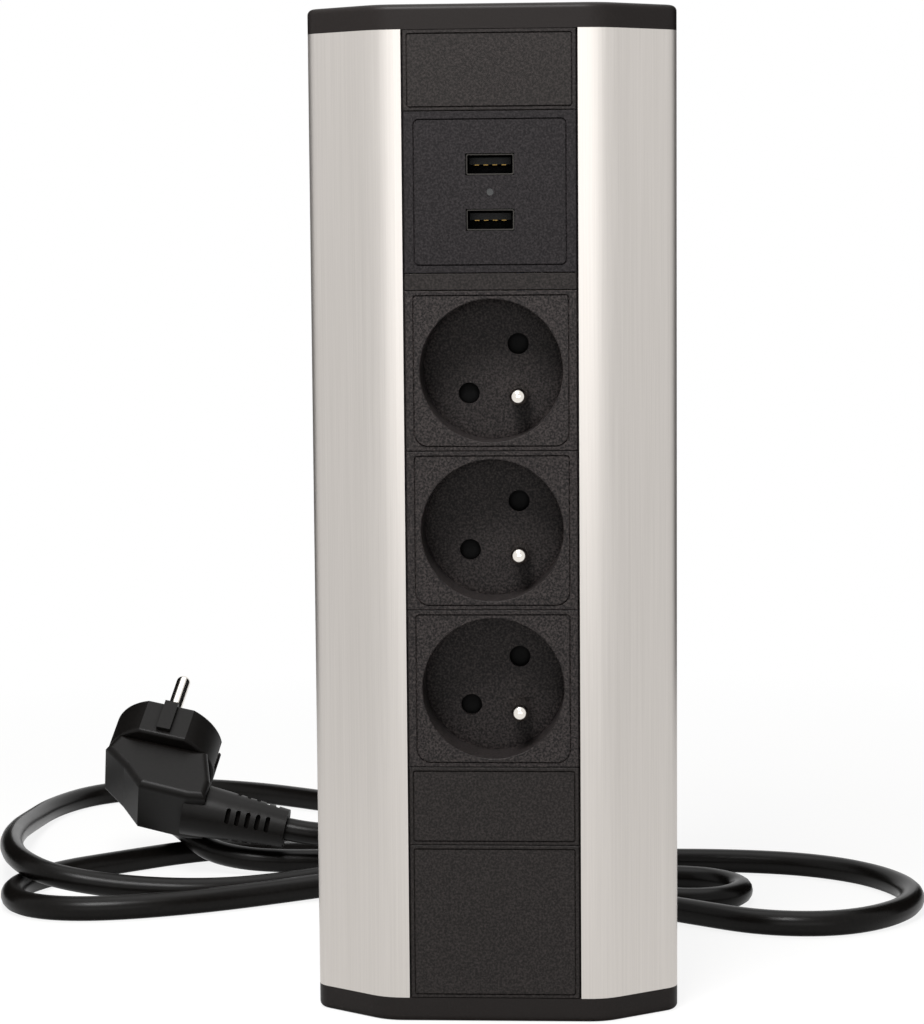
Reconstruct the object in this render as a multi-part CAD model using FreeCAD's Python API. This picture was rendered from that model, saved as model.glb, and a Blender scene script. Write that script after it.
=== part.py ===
"""Corner power strip: three earthed sockets and a two-port charger in an aluminium corner section.

Millimetres, +Z up.  The strip stands upright with its front towards -Y.  The origin is the
centre of the base under the strip, midway between its front plane and its back face.
"""
import FreeCAD, Part
import math
import os

Vector = FreeCAD.Vector

# Aluminium section, seen from above
width = 99.8
depth = 53.0
front_flat = 60.0
back_flat = 31.2
front_bend_radius = 15.0
side_radius = 5.5
back_radius = 3.0
wall = 1.8

# Heights of what is stacked in the front slot, from the base up
cap_height = 6.7
module_pitch = 43.0
half_pitch = module_pitch / 2
full_blank_height = 42.5
spacer_height = 4.6
socket_count = 3

# Front slot and the ledges that carry the modules
insert_width = 46.0
slot_gap = 0.5
module_gap = 0.15
plate_thickness = 3.0
plate_chamfer = 0.2
flange_setback = 1.4
flange_gap = 0.2
ledge_thickness = 1.8
ledge_bearing = 1.3
hook_inset = 1.0
hook_depth = 2.0
hook_width = 4.0
hook_thickness = 1.7
hook_clearance = 0.1

# Seam line between a module's frame and its cover
seam_width = 0.4
seam_depth = 0.4
blank_seam_inset = 0.9
blank_seam_radius = 0.8
usb_seam_side = 2.5
usb_seam_end = 2.0
usb_seam_radius = 1.6
socket_seam_side = 2.0
socket_seam_end = 1.1
socket_seam_radius = 4.0
socket_seam_top_radius = 1.0

# End caps and their screws
cap_edge_fillet = 1.6
skirt_height = 5.0
skirt_thickness = 1.6
fit_gap = 0.3
skirt_from = 20.0
port_radius = 3.4
port_bore = 1.65
port_wall_grip = 0.4
screw_shank = 1.6
screw_length = 16.0
screw_head_radius = 3.0
screw_head_height = 2.2
screw_sink = 0.4
screw_slot_width = 0.9
screw_slot_depth = 0.8
back_port_x = 24.0

# Sockets
recess_radius = 19.2
recess_depth = 15.0
cup_wall = 1.7
cup_floor = 2.0
recess_lip = 0.2
pin_spacing = 19.0
pin_radius = 2.4
pin_shank_radius = 2.0
pin_undercut = 0.3
pin_hole_radius = 2.9
earth_offset = 10.0
earth_tip_setback = 0.8
earth_hole_clearance = 0.1
pin_tip_fillet = 2.3
base_gap = 3.0
base_floor = 3.0
base_corner = 3.0
sleeve_outer = 3.3
sleeve_inner = 2.35
sleeve_clearance = 0.2
sleeve_slit = 0.8
tail_radius = 1.2
tail_clearance = 0.05
terminal_size = 4.4
terminal_depth = 5.0
earth_tail_thickness = 1.0

# Shutters, in plan along the pin line (p) and towards the earth pin (e)
shutter_travel = 6.0
shutter_thickness = 2.7
shutter_clearance = 0.15
shutter_end_gap = 0.4
shutter_half_length = 13.2
shutter_back = 3.8
shutter_window_edge = 0.8
notch_clearance = 0.8
spring_radius = 1.3
spring_wire = 0.4
spring_length = 12.4
spring_channel_clearance = 0.3

# Charger module
port_width = 13.0
port_height = 5.8
port_spacing = 14.7
port_clearance = 0.15
shell_thickness = 0.3
shell_setback = 1.6
shell_length = 13.4
tongue_width = 11.1
tongue_thickness = 1.8
tongue_lift = 0.9
tongue_setback = 1.8
tongue_root = 2.5
strip_count = 4
strip_setback = 0.4
strip_pitch = 2.4
strip_width = 1.2
strip_thickness = 0.2
window_radius = 1.0
window_clearance = 0.05
light_setback = 0.7
charger_half_width = 19.6
charger_half_height = 20.8
charger_wall = 1.4
board_thickness = 1.6
board_gap = 0.8
post_radius = 2.0
post_inset = 2.6
transformer_width = 14.0
transformer_height = 12.0
parts_gap = 0.9
capacitor_radius = 3.4
capacitor_drop = 0.8
capacitor_place = (12.6, 4.0)

# Wires, terminals and the clamp at the foot
wire_radius = 1.2
wire_bend = 8.0
wire_stub = 2.0
wire_clearance = 0.05
earth_wire_x = 14.5
block_bottom = 40.0
block_height = 12.0
block_depth = 9.0
block_margin = 4.0
block_screw_radius = 2.0
block_screw_height = 0.8
carrier_thickness = 2.0
core_pitch = 2.6
core_bend = 3.5
clamp_half_width = 12.0
clamp_length = 6.5
clamp_height = 5.0
clamp_gap = 1.0
clamp_screw_x = 8.5
clamp_screw_radius = 1.6
clamp_head_radius = 2.8
clamp_head_height = 1.8

# Lead
cord_diameter = 7.8
cord_radius = cord_diameter / 2
inlet_height = 20.0
inlet_body_radius = 7.0
inlet_flange_radius = 9.5
inlet_flange = 2.0
inlet_snap_radius = 8.2
inlet_snap = 1.5
snap_gap = 0.2
inlet_hole_gap = 0.1
inlet_tip_radius = 5.2
inlet_length = 27.0
carrier_hole_clearance = 0.4
jacket_end = 1.0
arc_share = 0.45
floor_lay = cord_radius
over_lay = 12.3
last_run = 11.0

# Plug, in its own axes: u towards the lead, w along the pins
plug_face = Vector(-120.45, 170.1, 44.2)
plug_lead_direction = Vector(0.978, -0.0187, -0.208)
plug_pin_direction = Vector(0.1474, 0.767, 0.6245)
disc_radius = 18.6
disc_flat = 16.8
disc_height = 14.0
disc_fillet = 1.2
rib_width = 4.6
rib_height = 1.6
rib_length = 12.0
grip_half = 12.4
grip_fillet = 2.4
grip_root = 1.0
grip_edge = 4.0
grip_heel = (-17.5, -20.0)
grip_knee = (-9.5, -26.0)
grip_toe = (-2.7, -32.6)
grip_foot = (14.0, -33.1)
grip_nose = 20.0
grip_nose_half = 3.6
grip_shoulder = 16.0
relief_drop = 28.5
relief_start = 13.0
relief_start_radius = 9.2
relief_neck = 24.0
relief_neck_radius = 8.4
relief_end = 47.6
relief_tip_radius = 6.6
relief_slots = 5
relief_slot_pitch = 3.35
relief_slot_width = 1.5
relief_slot_depth = 2.6
relief_slot_half = 2.6
relief_slot_end = 0.9
relief_first_slot = 28.2
relief_turn = 37.0
notch_depth = 1.0
notch_half = 2.6
plug_pin_length = 18.5
pin_foot = 7.0
plug_earth_radius = 2.5
plug_earth_depth = 17.0
clip_width = 4.0
clip_thickness = 0.8
clip_length = 12.0
clip_channel_side = 1.5
clip_stand = 1.0
clip_setback = 0.2

# Worked out from the sizes above
front = -depth / 2
back = depth / 2
insert_half = insert_width / 2
slot_half = insert_half + slot_gap
ledge_inner = insert_half - ledge_bearing
plate_back = front + plate_thickness
ledge_back = plate_back + ledge_thickness
blank_full_bottom_z = cap_height
blank_half_bottom_z = blank_full_bottom_z + full_blank_height
sockets_bottom_z = blank_half_bottom_z + half_pitch
spacer_bottom_z = sockets_bottom_z + socket_count * module_pitch
charger_bottom_z = spacer_bottom_z + spacer_height
blank_top_z = charger_bottom_z + module_pitch
profile_top_z = blank_top_z + half_pitch
total_height = profile_top_z + cap_height
charger_z = charger_bottom_z + module_pitch / 2
cup_back = front + recess_depth + cup_floor
pocket_depth = shutter_thickness + 2 * shutter_clearance
pocket_back = cup_back + pocket_depth
inlet_snap_y = back - wall - inlet_snap
wire_y = inlet_snap_y - snap_gap - clamp_length - carrier_thickness - block_depth / 2
base_half = (module_pitch - base_gap) / 2
base_back = wire_y - terminal_depth / 2
sleeve_back = base_back - base_floor
charger_back = wire_y - wire_bend - wire_stub
half_diagonal = pin_spacing / 2 / math.sqrt(2)
earth_diagonal = earth_offset / math.sqrt(2)
block_front = wire_y - block_depth / 2
block_back = wire_y + block_depth / 2
inlet_tip_y = back + inlet_length
over = over_lay
low = floor_lay

# Lead from the tip of its strain relief to the plug: E to L turns and back in two loops
route_start = Vector(0, inlet_tip_y, inlet_height)
route = [
    (0, 66.8, inlet_height), (0, 79.5, 16), (-1, 90.5, 8.5), (-4, 103.5, low), (-9, 122.5, low),
    (-16, 145.5, low),
    (-31, 165.5, low), (-54, 176.5, low), (-84, 180, low), (-112, 171, low), (-137, 150.5, low),
    (-154, 135.5, low), (-164, 114.5, low), (-160, 94.5, low), (-146, 85, low), (-126, 85.5, low),
    (-98, 96.5, low), (-72, 112.5, low), (-47, 122.5, 5.5), (-24, 124.5, over), (0, 121, over),
    (18, 112.5, low), (36, 99.5, low), (56, 85.5, low), (78, 71, low), (103, 71, low),
    (122, 87.5, low), (129, 111.5, low), (119, 136.5, low), (99, 152.5, low), (72, 158.5, low),
    (40, 158.5, low), (4, 167.5, low), (-30, 181.5, low), (-60, 190.5, low), (-82, 199, 5),
    (-101, 202, 8), (-116, 194, 11), (-121.5, 178.5, over), (-116, 165.5, 12.8), (-106, 155, 7.5),
    (-93, 150.5, 5.5), (-79, 152.5, 4.3), (-63.5, 155.5, low), (-48, 156.5, 4.4), (-32, 156, over),
    (-12, 155, over), (6, 150.5, 6.5), (26, 141.5, low), (48, 133.5, low), (64, 131, low),
    (75, 117.5, low), (68, 103, low), (53, 100, low), (37, 108.5, low),
    (19, 123.5, 6.5), (0, 134.5, over), (-24, 139, over),
    (-48, 134.5, 6), (-72, 122.5, low), (-97, 110.5, low), (-124, 106.5, 5.5), (-148, 104.5, 9.5),
    (-162, 115.5, over), (-170.5, 139.5, over), (-176.5, 177.5, 9), (-179, 213.5, 5),
    (-177, 244.5, low), (-165, 269.5, low), (-140, 281.5, low), (-108, 275.5, low),
    (-75, 256, low), (-58.5, 243, low), (-42, 228.5, low), (-33, 216, 5), (-28.5, 202, 9.5),
    (-28.5, 187, 13), (-33, 172.5, 14.5), (-42, 160.5, 15), (-54.5, 151.5, 14.6),
]


def box(x0, x1, y0, y1, z0, z1):
    """Box between two opposite corners."""
    return Part.makeBox(x1 - x0, y1 - y0, z1 - z0, Vector(x0, y0, z0))


def rod(radius, start, direction, length):
    """Round bar from a point along a direction."""
    return Part.makeCylinder(radius, length, start, direction)


def inset_corners(corners, distance):
    """Corners of a polygon drawn anticlockwise, with each side moved inwards."""
    moved = []
    count = len(corners)
    for i in range(count):
        before, here, after = corners[i - 1], corners[i], corners[(i + 1) % count]
        lines = []
        for a, b in ((before, here), (here, after)):
            along = (b - a).normalize()
            normal = Vector(-along.y, along.x, 0)
            lines.append((normal, normal.dot(a) + distance))
        (n1, d1), (n2, d2) = lines
        det = n1.x * n2.y - n1.y * n2.x
        moved.append(Vector((d1 * n2.y - d2 * n1.y) / det, (n1.x * d2 - n2.x * d1) / det, 0))
    return moved


def rounded_wire(corners, radii):
    """Closed wire through the corners, with each corner rounded by its own radius."""
    starts, ends, middles = [], [], []
    count = len(corners)
    for i, radius in enumerate(radii):
        here = corners[i]
        to_before = (corners[i - 1] - here).normalize()
        to_after = (corners[(i + 1) % count] - here).normalize()
        half = to_before.getAngle(to_after) / 2
        cut = radius / math.tan(half)
        centre_line = (to_before + to_after).normalize()
        starts.append(here + to_before * cut)
        ends.append(here + to_after * cut)
        middles.append(here + centre_line * (radius / math.sin(half) - radius))
    edges = []
    for i in range(count):
        edges.append(Part.Arc(starts[i], middles[i], ends[i]).toShape())
        edges.append(Part.LineSegment(ends[i], starts[(i + 1) % count]).toShape())
    return Part.Wire(edges)


def section_corners():
    """Sharp corners of the section, anticlockwise from the front left."""
    flat_half = front_flat / 2
    back_half = back_flat / 2
    back_line = back_half + depth
    centre_x = width / 2 - side_radius
    centre_y = back_line - centre_x - side_radius * math.sqrt(2)
    reach = math.hypot(centre_x - flat_half, centre_y)
    angle = math.atan2(centre_y, centre_x - flat_half) - math.asin(side_radius / reach)
    side_x = (back_line + flat_half * math.tan(angle)) / (1 + math.tan(angle))
    side_y = (side_x - flat_half) * math.tan(angle)
    return [
        Vector(-flat_half, front, 0), Vector(flat_half, front, 0), Vector(side_x, front + side_y, 0),
        Vector(back_half, back, 0), Vector(-back_half, back, 0), Vector(-side_x, front + side_y, 0),
    ]


def section_prism(inset, z0, z1):
    """Solid of the section between two heights, with its outline moved inwards."""
    corners = inset_corners(section_corners(), inset)
    front_r, side_r, back_r = (max(r - inset, 0.5) for r in (front_bend_radius, side_radius, back_radius))
    wire = rounded_wire(corners, [front_r, front_r, side_r, back_r, back_r, side_r])
    wire.translate(Vector(0, 0, z0))
    return Part.Face(wire).extrude(Vector(0, 0, z1 - z0))


def port_places():
    """Plan centres of the four screw ports, two in the side corners and two on the back walls."""
    corners = inset_corners(section_corners(), wall + port_radius - port_wall_grip)
    back_line = corners[2].x + corners[2].y
    places = []
    for sign, side in ((1, corners[2]), (-1, corners[5])):
        places.append(side)
        places.append(Vector(sign * back_port_x, back_line - back_port_x, 0))
    return places


def make_profile():
    """Extruded section with its slot, module ledges, screw ports and the hole for the lead."""
    z0, z1 = cap_height, profile_top_z
    outer = section_prism(0, z0, z1)
    shape = outer.cut(section_prism(wall, z0 - 1, z1 + 1))
    shape = shape.cut(box(-slot_half, slot_half, front - 1, plate_back, z0 - 1, z1 + 1))
    for side in (-1, 1):
        rail_x = sorted((side * slot_half, side * (slot_half + ledge_thickness)))
        ledge_x = sorted((side * ledge_inner, side * (slot_half + ledge_thickness)))
        shape = shape.fuse(box(*rail_x, front + wall / 2, ledge_back, z0, z1))
        shape = shape.fuse(box(*ledge_x, plate_back, ledge_back, z0, z1))
    for place in port_places():
        boss = rod(port_radius, place + Vector(0, 0, z0), Vector(0, 0, 1), z1 - z0)
        shape = shape.fuse(boss.common(outer))
    for place in port_places():
        shape = shape.cut(rod(port_bore, place + Vector(0, 0, z0 - 1), Vector(0, 0, 1), z1 - z0 + 2))
    inlet = rod(inlet_body_radius, Vector(0, back - wall - 1, inlet_height), Vector(0, 1, 0), wall + 2)
    return shape.cut(inlet).removeSplitter()


def make_skirt(z0, z1):
    """Band of a cap that locates it inside the back of the section, clear of the screw ports."""
    outer = section_prism(wall + fit_gap, z0, z1)
    band = outer.cut(section_prism(wall + fit_gap + skirt_thickness, z0 - 1, z1 + 1))
    band = band.common(box(-width, width, front + skirt_from, back, z0, z1))
    for place in port_places():
        keep_out = rod(port_radius + fit_gap, place + Vector(0, 0, z0 - 1), Vector(0, 0, 1), z1 - z0 + 2)
        band = band.cut(keep_out)
    return band


def screw_seats(face_z, direction):
    """Bores and countersinks for the cap screws, from the cap's outer face inwards."""
    seats = []
    for place in port_places():
        mouth = place + Vector(0, 0, face_z)
        seats.append(rod(screw_shank + fit_gap, mouth, direction, cap_height))
        seats.append(rod(screw_head_radius + fit_gap, mouth, direction, screw_sink + screw_head_height))
    return seats


def make_cap(z0, z1, outer_face_z, inward):
    """End cap flush with the section, its outer edge rounded, with its screw seats and skirt."""
    plate = section_prism(0, z0, z1)
    rim = [e for e in plate.Edges if all(abs(v.Z - outer_face_z) < 1e-6 for v in e.Vertexes)]
    plate = plate.makeFillet(cap_edge_fillet, rim)
    if inward > 0:
        skirt = make_skirt(z1, z1 + skirt_height)
    else:
        skirt = make_skirt(z0 - skirt_height, z0)
    shape = plate.fuse(skirt)
    for seat in screw_seats(outer_face_z, Vector(0, 0, inward)):
        shape = shape.cut(seat)
    return shape


def make_bottom_cap():
    """Bottom cap with the seat of the cord clamp and the upright that carries the terminal block."""
    shape = make_cap(0, cap_height, 0, 1)
    carrier_x0 = -half_diagonal - block_margin
    carrier_x1 = earth_wire_x + block_margin
    carrier_y1 = block_back + carrier_thickness
    shape = shape.fuse(box(carrier_x0, carrier_x1, block_back, carrier_y1, cap_height,
                           block_bottom + block_height))
    clamp_y1 = carrier_y1 + clamp_length
    seat_top = inlet_height - clamp_gap / 2
    shape = shape.fuse(box(-clamp_half_width, clamp_half_width, carrier_y1, clamp_y1, cap_height, seat_top))
    shape = shape.cut(rod(cord_radius, Vector(0, carrier_y1, inlet_height), Vector(0, 1, 0), clamp_length + 1))
    hole = rod(cord_radius + carrier_hole_clearance, Vector(0, block_back - 1, inlet_height),
               Vector(0, 1, 0), carrier_thickness + 1)
    shape = shape.cut(hole)
    for side in (-1, 1):
        foot = Vector(side * clamp_screw_x, carrier_y1 + clamp_length / 2, cap_height)
        thread = rod(clamp_screw_radius, foot, Vector(0, 0, 1), seat_top)
        shape = shape.cut(thread)
    return shape


def slotted_screw(head_centre, direction, head_radius, head_height, shank_radius, length):
    """Screw whose head ends at a point, with its shank along the direction."""
    head = rod(head_radius, head_centre, direction, head_height)
    shank = rod(shank_radius, head_centre, direction, length)
    slot = Part.makeBox(2 * head_radius + 1, screw_slot_width, 2 * screw_slot_depth,
                        Vector(-head_radius - 0.5, -screw_slot_width / 2, -screw_slot_depth))
    slot.Placement = FreeCAD.Placement(head_centre, FreeCAD.Rotation(Vector(0, 0, 1), direction))
    return head.fuse(shank).cut(slot)


def make_cap_screws():
    """Four screws in each cap, sunk under its outer face."""
    screws = []
    for face_z, inward in ((0, 1), (total_height, -1)):
        for place in port_places():
            start = place + Vector(0, 0, face_z + inward * screw_sink)
            screws.append(slotted_screw(start, Vector(0, 0, inward), screw_head_radius, screw_head_height,
                                        screw_shank, screw_length))
    return Part.makeCompound(screws)


def rounded_plate(half_x, z0, z1, radius, y0, y1, top_radius=None):
    """Rectangle with rounded corners, standing across Y between two depths."""
    top = radius if top_radius is None else top_radius
    corners = [Vector(-half_x, z0, 0), Vector(half_x, z0, 0), Vector(half_x, z1, 0), Vector(-half_x, z1, 0)]
    face = Part.Face(rounded_wire(corners, [radius, radius, top, top]))
    solid = face.extrude(Vector(0, 0, y1 - y0))
    solid.rotate(Vector(), Vector(1, 0, 0), 90)
    solid.translate(Vector(0, y1, 0))
    return solid


def seam_ring(z0, z1, side_inset, end_inset, radius, top_radius):
    """Ring that is cut from a plate's front to make its seam line."""
    y0, y1 = front - 1, front + seam_depth
    outer = rounded_plate(insert_half - side_inset, z0 + end_inset, z1 - end_inset, radius, y0, y1, top_radius)
    half = insert_half - side_inset - seam_width
    inner_radius, inner_top = (max(r - seam_width, 0.2) for r in (radius, top_radius))
    inner = rounded_plate(half, z0 + end_inset + seam_width, z1 - end_inset - seam_width, inner_radius, y0, y1,
                          inner_top)
    return outer.cut(inner)


def make_hooks(z0, z1):
    """Snap hooks behind a plate, which hold it against the two ledges."""
    middle = (z0 + z1) / 2
    reach = (z1 - z0) / 2 - hook_width / 2 - hook_inset
    rows = (middle - reach, middle + reach) if reach > hook_width / 2 else (middle,)
    half_row = min(hook_width / 2, (z1 - z0) / 2 - hook_inset / 2)
    hooks = []
    for z in rows:
        for side in (-1, 1):
            outside = side * (ledge_inner - hook_clearance)
            arm_x = sorted((outside, outside - side * hook_thickness))
            nose_x = sorted((outside, outside + side * ledge_bearing / 2))
            arm_back = ledge_back + hook_clearance + hook_depth
            hooks.append(box(*arm_x, plate_back, arm_back, z - half_row, z + half_row))
            hooks.append(box(*nose_x, ledge_back + hook_clearance, arm_back, z - half_row, z + half_row))
    return hooks


def make_plate(z0, z1):
    """Front plate of a module with chamfered front edges, side flanges and its snap hooks."""
    low_z, high_z = z0 + module_gap / 2, z1 - module_gap / 2
    plate = box(-insert_half, insert_half, front, plate_back, low_z, high_z)
    rim = [e for e in plate.Edges if all(abs(v.Y - front) < 1e-6 for v in e.Vertexes)]
    plate = plate.makeChamfer(plate_chamfer, rim)
    flange_half = slot_half - flange_gap
    plate = plate.fuse(box(-flange_half, flange_half, front + flange_setback, plate_back, low_z, high_z))
    for hook in make_hooks(low_z, high_z):
        plate = plate.fuse(hook)
    return plate


def make_blank(z0, z1):
    """Blank module."""
    return make_plate(z0, z1).cut(seam_ring(z0, z1, blank_seam_inset, blank_seam_inset, blank_seam_radius,
                                          blank_seam_radius))


def make_spacer():
    """Narrow plain strip between the charger and the sockets."""
    return make_plate(spacer_bottom_z, charger_bottom_z)


def socket_centre(index):
    """Height of a socket's centre, counted from the top."""
    return spacer_bottom_z - (index - 0.5) * module_pitch


def pin_places(z):
    """Plan places of the two pin holes, along the rising diagonal."""
    return [Vector(side * half_diagonal, 0, z + side * half_diagonal) for side in (-1, 1)]


def earth_place(z):
    """Place of the earth pin, below and to the right of the centre."""
    return Vector(earth_diagonal, 0, z - earth_diagonal)


def make_socket_cover(z):
    """Socket face with its recess."""
    z0, z1 = z - module_pitch / 2, z + module_pitch / 2
    back_way = Vector(0, 1, 0)
    shape = make_plate(z0, z1)
    shape = shape.fuse(rod(recess_radius + cup_wall, Vector(0, plate_back - 0.5, z), back_way,
                           cup_back - plate_back + 0.5))
    recess = rod(recess_radius, Vector(0, front, z), back_way, recess_depth)
    lip = Part.makeCone(recess_radius + recess_lip, recess_radius, recess_lip, Vector(0, front, z), back_way)
    shape = shape.cut(recess).cut(lip)
    for place in pin_places(z):
        hole = rod(pin_hole_radius, place + Vector(0, front, 0), back_way, recess_depth + cup_floor + 1)
        shape = shape.cut(hole)
    earth = rod(pin_shank_radius + earth_hole_clearance, earth_place(z) + Vector(0, front, 0), back_way,
                recess_depth + cup_floor + 1)
    shape = shape.cut(earth)
    return shape.cut(seam_ring(z0, z1, socket_seam_side, socket_seam_end, socket_seam_radius,
                               socket_seam_top_radius))


def turned(shape, z):
    """Shape drawn with p along +X and e along -Z, turned onto the socket's diagonal."""
    shape.rotate(Vector(), Vector(0, 1, 0), -45)
    shape.translate(Vector(0, 0, z))
    return shape


def make_socket_base(z):
    """Insulating back of a socket with the shutter's pocket and the bores for the contacts."""
    back_way = Vector(0, 1, 0)
    shape = rounded_plate(base_half, z - base_half, z + base_half, base_corner, cup_back, base_back)
    half_p = shutter_half_length + shutter_end_gap
    e_low = shutter_back + shutter_travel + shutter_end_gap
    e_high = shutter_window_edge + shutter_travel + pin_hole_radius + shutter_end_gap
    pocket = box(-half_p, half_p, cup_back - 1, pocket_back, -e_high, e_low)
    channel = spring_radius + spring_channel_clearance
    slot = box(-channel, channel, cup_back - 1, pocket_back, 0, shutter_back + spring_length)
    shape = shape.cut(turned(pocket, z)).cut(turned(slot, z))
    for place in pin_places(z):
        start = place + Vector(0, pocket_back - 0.1, 0)
        shape = shape.cut(rod(sleeve_outer + sleeve_clearance, start, back_way, sleeve_back - start.y))
        shape = shape.cut(rod(tail_radius + tail_clearance, start, back_way, base_back - start.y + 1))
    earth = earth_place(z) + Vector(0, cup_back - 1, 0)
    shape = shape.cut(rod(pin_shank_radius, earth, back_way, sleeve_back - earth.y))
    return shape.cut(rod(tail_radius + tail_clearance, earth, back_way, base_back - earth.y + 1))


def make_terminal(x, z):
    """Terminal behind a socket, bored for the wire that passes down through it."""
    half = terminal_size / 2
    body = box(x - half, x + half, base_back, base_back + terminal_depth, z - half, z + half)
    under = Vector(x, wire_y, z - half - 1)
    bore = rod(wire_radius + wire_clearance, under, Vector(0, 0, 1), terminal_size + 2)
    return body.cut(bore)


def make_contacts(z):
    """Line and neutral contacts: slit sleeve, tail and terminal."""
    back_way = Vector(0, 1, 0)
    contacts = []
    for place in pin_places(z):
        start = place + Vector(0, pocket_back + sleeve_clearance, 0)
        length = sleeve_back - pocket_back - sleeve_clearance
        sleeve = rod(sleeve_outer, start, back_way, length)
        sleeve = sleeve.cut(rod(sleeve_inner, start, back_way, length - sleeve_inner))
        slit = box(place.x - sleeve_slit / 2, place.x + sleeve_slit / 2, start.y,
                   start.y + length - 2 * sleeve_inner, place.z - sleeve_outer, place.z + sleeve_outer)
        tail = rod(tail_radius, place + Vector(0, sleeve_back, 0), back_way, base_back - sleeve_back)
        contacts.append(sleeve.cut(slit).fuse(tail).fuse(make_terminal(place.x, place.z)))
    return Part.makeCompound(contacts)


def shouldered_pin(foot, direction, shank_length, pin_length):
    """Round pin with a rounded tip on a thinner shank, from the shank's foot along a direction."""
    shoulder = foot + direction * shank_length
    tip = shoulder + direction * pin_length
    pin = rod(pin_radius, shoulder, direction, pin_length)
    rim = [e for e in pin.Edges if e.Closed and (e.CenterOfMass - tip).Length < 1e-3]
    return pin.makeFillet(pin_tip_fillet, rim).fuse(rod(pin_shank_radius, foot, direction, shank_length))


def make_earth_pin(z):
    """Earth pin that stands in the recess, its tail and its terminal beside the wires."""
    place = earth_place(z)
    foot = place + Vector(0, sleeve_back, 0)
    shoulder_y = front + recess_depth - pin_undercut
    shaft = shoulder_y - front - earth_tip_setback
    pin = shouldered_pin(foot, Vector(0, -1, 0), sleeve_back - shoulder_y, shaft)
    tail = rod(tail_radius, foot, Vector(0, 1, 0), base_back - sleeve_back)
    half = terminal_size / 2
    strap = box(place.x - half, earth_wire_x, base_back, base_back + earth_tail_thickness,
                place.z - half, place.z + half)
    return pin.fuse(tail).fuse(strap).fuse(make_terminal(earth_wire_x, place.z))


def make_shutter(z):
    """Sliding shutter with two windows, which meet the pin holes when it is pushed aside."""
    y0 = cup_back + shutter_clearance
    y1 = y0 + shutter_thickness
    high = shutter_window_edge + shutter_travel + pin_hole_radius
    plate = box(-shutter_half_length, shutter_half_length, y0, y1, -high, shutter_back)
    for side in (-1, 1):
        rim = Vector(side * pin_spacing / 2, y0, -shutter_travel)
        window = rod(pin_hole_radius, rim, Vector(0, 1, 0), shutter_thickness)
        ramp = Part.makeCone(pin_hole_radius + shutter_window_edge / 2, pin_hole_radius,
                             shutter_window_edge / 2, rim, Vector(0, 1, 0))
        plate = plate.cut(window).cut(ramp)
    notch_half = pin_radius + notch_clearance
    notch = box(-notch_half, notch_half, y0, y1, -high, -(earth_offset - pin_radius - notch_clearance))
    return turned(plate.cut(notch), z)


def make_shutter_spring(z):
    """Return spring of a shutter, as the tube that its turns fill."""
    y = cup_back + pocket_depth / 2
    outer = rod(spring_radius, Vector(0, y, shutter_back), Vector(0, 0, 1), spring_length)
    inner = rod(spring_radius - spring_wire, Vector(0, y, shutter_back), Vector(0, 0, 1), spring_length)
    return turned(outer.cut(inner), z)


def port_heights():
    """Heights of the lower and upper charger ports."""
    return [charger_z + side * port_spacing / 2 for side in (-1, 1)]


def make_usb_cover():
    """Charger face with its two cut-outs and the light window."""
    z0, z1 = charger_bottom_z, blank_top_z
    shape = make_plate(z0, z1)
    for z in port_heights():
        shape = shape.cut(box(-port_width / 2, port_width / 2, front - 1, plate_back + 1,
                              z - port_height / 2, z + port_height / 2))
    shape = shape.cut(rod(window_radius, Vector(0, front - 1, charger_z), Vector(0, 1, 0), plate_thickness + 2))
    return shape.cut(seam_ring(z0, z1, usb_seam_side, usb_seam_end, usb_seam_radius, usb_seam_radius))


def board_front():
    """Depth of the board's front face, where the port shells end."""
    return front + shell_setback + shell_length


def make_usb_shell(z):
    """Folded shell of one port."""
    half_x = port_width / 2 - port_clearance
    half_z = port_height / 2 - port_clearance
    y0 = front + shell_setback
    outer = rounded_plate(half_x, z - half_z, z + half_z, 0.5, y0, board_front())
    t = shell_thickness
    return outer.cut(rounded_plate(half_x - t, z - half_z + t, z + half_z - t, 0.3, y0 - 1, board_front() + 1))


def make_usb_tongue(z):
    """Insulating tongue and its root, which fills the back of the shell."""
    half_x = port_width / 2 - port_clearance - shell_thickness
    half_z = port_height / 2 - port_clearance - shell_thickness
    root = rounded_plate(half_x, z - half_z, z + half_z, 0.3, board_front() - tongue_root, board_front())
    tongue = box(-tongue_width / 2, tongue_width / 2, front + shell_setback + tongue_setback, board_front(),
                 z + tongue_lift - tongue_thickness / 2, z + tongue_lift + tongue_thickness / 2)
    return root.fuse(tongue)


def make_usb_contacts():
    """Contact strips under the two tongues."""
    tongue_front = front + shell_setback + tongue_setback
    strips = []
    for z in port_heights():
        top = z + tongue_lift - tongue_thickness / 2
        for i in range(strip_count):
            x = (i - (strip_count - 1) / 2) * strip_pitch
            strips.append(box(x - strip_width / 2, x + strip_width / 2,
                              tongue_front + strip_setback, board_front() - tongue_root,
                              top - strip_thickness, top))
    return Part.makeCompound(strips)


def make_light_pipe():
    """Light guide from the board to the window in the charger's face."""
    start = Vector(0, front + light_setback, charger_z)
    return rod(window_radius - window_clearance, start, Vector(0, 1, 0), board_front() - start.y)


def make_usb_board():
    """Circuit board behind the ports."""
    half_x = charger_half_width - charger_wall - board_gap
    half_z = charger_half_height - charger_wall - board_gap
    return box(-half_x, half_x, board_front(), board_front() + board_thickness,
               charger_z - half_z, charger_z + half_z)


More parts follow.
